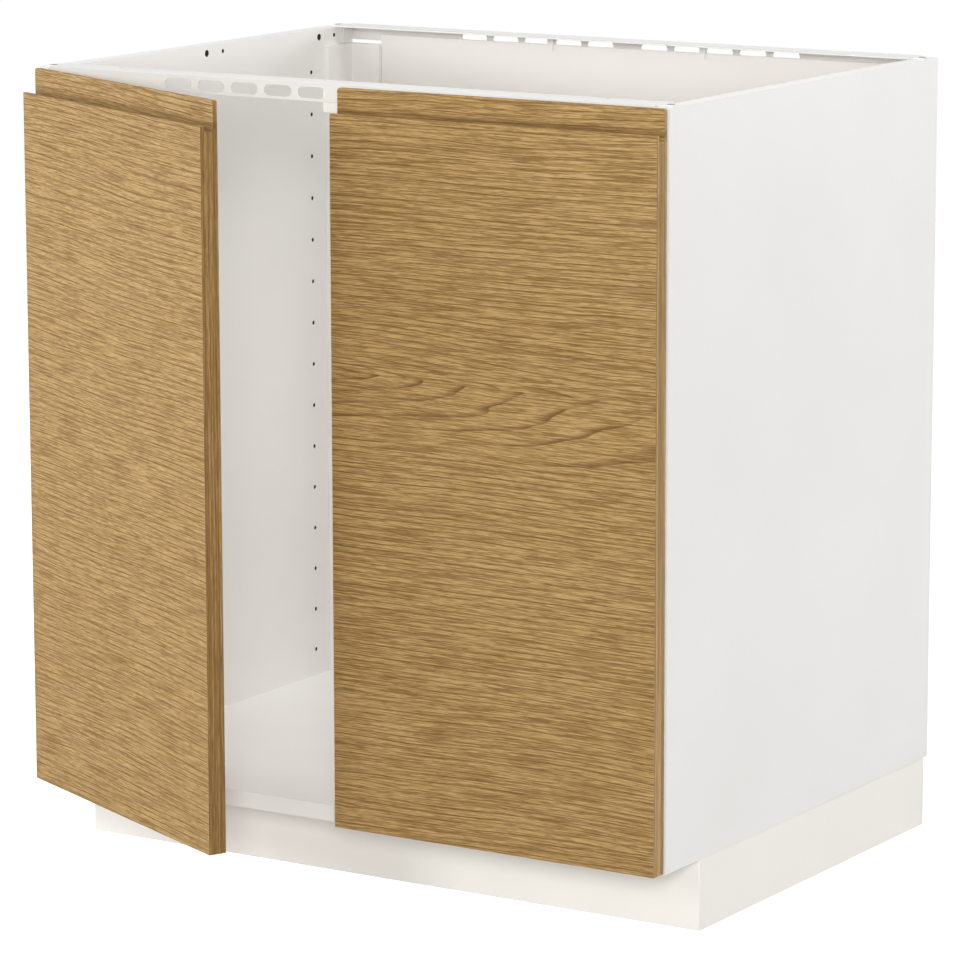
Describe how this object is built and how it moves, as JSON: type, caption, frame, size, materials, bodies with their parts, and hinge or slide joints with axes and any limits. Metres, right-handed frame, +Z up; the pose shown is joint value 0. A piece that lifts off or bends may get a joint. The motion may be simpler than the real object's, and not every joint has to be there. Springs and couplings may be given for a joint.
{
  "type": "sink base cabinet",
  "caption": "White base cabinet for a sink: open top between two steel rails, two oak-effect doors with cut-in top grips on concealed hinges, adjustable feet and a plinth.",
  "frame": {"origin": "on the floor, at the middle of the front plinth board's lower face", "axes": "+X to the right seen from the front, +Y from the doors to the wall, +Z up"},
  "size_m": [0.8037, 0.7899, 0.8815],
  "materials": {
    "board_white": "white melamine foil on particleboard, satin",
    "back_white": "white foil on fibreboard, matt",
    "steel_white": "white powder coat, satin",
    "plastic_white": "moulded, satin",
    "screw_dark": "dark zinc",
    "dowel_wood": "plain beech",
    "door_oak": "oak-effect foil, fine pores, satin",
    "pad_clear": "clear soft pad",
    "hinge_nickel": "nickel plated",
    "leg_black": "moulded, fine grain",
    "plinth_white": "warm white foil, satin"
  },
  "bodies": {
    "carcass": {"side_panel_left": "board_white", "side_panel_right": "board_white", "bottom_panel": "board_white", "back_panel": "back_white", "corner_post_left": "back_white", "corner_post_right": "back_white", "front_rail": "steel_white", "rear_rail": "steel_white", "back_panel_clips": "plastic_white", "door_stop_block": "plastic_white", "rail_screws": "screw_dark", "arm_pins_left": "screw_dark", "arm_pins_right": "screw_dark", "panel_dowels": "dowel_wood", "hinge_plate_left_lower": "hinge_nickel", "hinge_plate_left_upper": "hinge_nickel", "hinge_plate_right_lower": "hinge_nickel", "hinge_plate_right_upper": "hinge_nickel", "hinge_arm_left_lower": "hinge_nickel", "hinge_arm_left_upper": "hinge_nickel", "hinge_arm_right_lower": "hinge_nickel", "hinge_arm_right_upper": "hinge_nickel", "plate_screws": "hinge_nickel", "arm_screws": "hinge_nickel", "socket_screws": "hinge_nickel", "leg_socket_front_left": "leg_black", "leg_socket_front_right": "leg_black", "leg_socket_rear_left": "leg_black", "leg_socket_rear_right": "leg_black", "leg_tube_front_left": "leg_black", "leg_tube_front_right": "leg_black", "leg_tube_rear_left": "leg_black", "leg_tube_rear_right": "leg_black", "plinth_clips": "leg_black", "plinth_front": "plinth_white", "plinth_left": "plinth_white", "plinth_right": "plinth_white"},
    "left_links": {"hinge_link_left_lower": "hinge_nickel", "hinge_link_left_upper": "hinge_nickel"},
    "left_door": {"door_left": "door_oak", "bumpers_left": "pad_clear", "cup_pins_left": "screw_dark", "cup_screws_left": "hinge_nickel", "hinge_cup_left_lower": "hinge_nickel", "hinge_cup_left_upper": "hinge_nickel"},
    "right_links": {"hinge_link_right_lower": "hinge_nickel", "hinge_link_right_upper": "hinge_nickel"},
    "right_door": {"door_right": "door_oak", "bumpers_right": "pad_clear", "cup_pins_right": "screw_dark", "cup_screws_right": "hinge_nickel", "hinge_cup_right_lower": "hinge_nickel", "hinge_cup_right_upper": "hinge_nickel"},
    "front_left_foot": {"foot_front_left": "leg_black"},
    "front_right_foot": {"foot_front_right": "leg_black"},
    "rear_left_foot": {"foot_rear_left": "leg_black"},
    "rear_right_foot": {"foot_rear_right": "leg_black"}
  },
  "joints": [
    {"name": "left_link_swing", "type": "hinge", "parent": "carcass", "child": "left_links", "pos_m": [-0.364, -0.082, 0.4805], "axis": [0, 0, -1], "range_deg": [-21.13, 6.38]},
    {"name": "left_door_swing", "type": "hinge", "parent": "left_links", "child": "left_door", "pos_m": [-0.38785, -0.09372, 0.4805], "axis": [0, 0, -1], "range_deg": [-31.87, 105.6]},
    {"name": "right_link_swing", "type": "hinge", "parent": "carcass", "child": "right_links", "pos_m": [0.364, -0.082, 0.4805], "axis": [0, 0, 1], "range_deg": [-27.51, 0.01]},
    {"name": "right_door_swing", "type": "hinge", "parent": "right_links", "child": "right_door", "pos_m": [0.389, -0.091, 0.4805], "axis": [0, 0, 1], "range_deg": [0, 137.5]},
    {"name": "front_left_foot_height", "type": "slide", "parent": "carcass", "child": "front_left_foot", "axis": [0, 0, -1], "range_m": [0, 0.015]},
    {"name": "front_right_foot_height", "type": "slide", "parent": "carcass", "child": "front_right_foot", "axis": [0, 0, -1], "range_m": [0, 0.015]},
    {"name": "rear_left_foot_height", "type": "slide", "parent": "carcass", "child": "rear_left_foot", "axis": [0, 0, -1], "range_m": [0, 0.015]},
    {"name": "rear_right_foot_height", "type": "slide", "parent": "carcass", "child": "rear_right_foot", "axis": [0, 0, -1], "range_m": [0, 0.015]}
  ],
  "couplings": [
    {"joint": "left_link_swing", "follows": "left_door_swing", "ratio": -0.2},
    {"joint": "right_link_swing", "follows": "right_door_swing", "ratio": -0.2}
  ]
}
